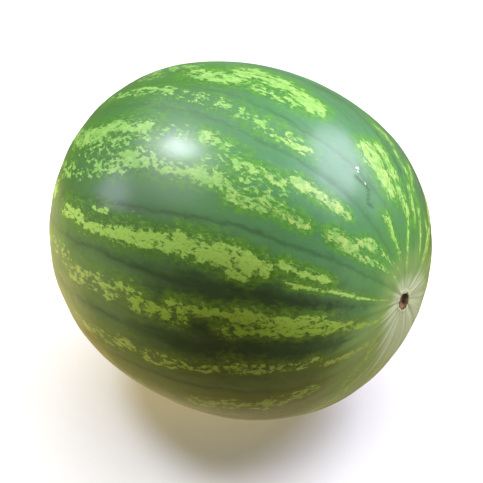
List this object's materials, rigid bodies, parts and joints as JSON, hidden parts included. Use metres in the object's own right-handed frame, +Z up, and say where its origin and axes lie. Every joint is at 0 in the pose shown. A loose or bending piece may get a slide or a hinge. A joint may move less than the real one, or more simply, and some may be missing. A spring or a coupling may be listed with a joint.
{
  "type": "watermelon",
  "caption": "Whole oblong striped watermelon with a corky blossom scar at one end and a dry stem stub at the other, lying on its side on a small flat spot.",
  "frame": {"origin": "on the flat spot that the fruit rests on, under the middle of the fruit", "axes": "+X along the fruit's length towards the blossom scar, +Z up, away from the surface it rests on"},
  "size_m": [0.2818, 0.2416, 0.2386],
  "materials": {
    "rind": "waxy satin rind, light mottled stripes on dark green",
    "stem": "dry fibrous stalk"
  },
  "bodies": {
    "root": {"watermelon": "rind", "stem": "stem"}
  },
  "joints": []
}
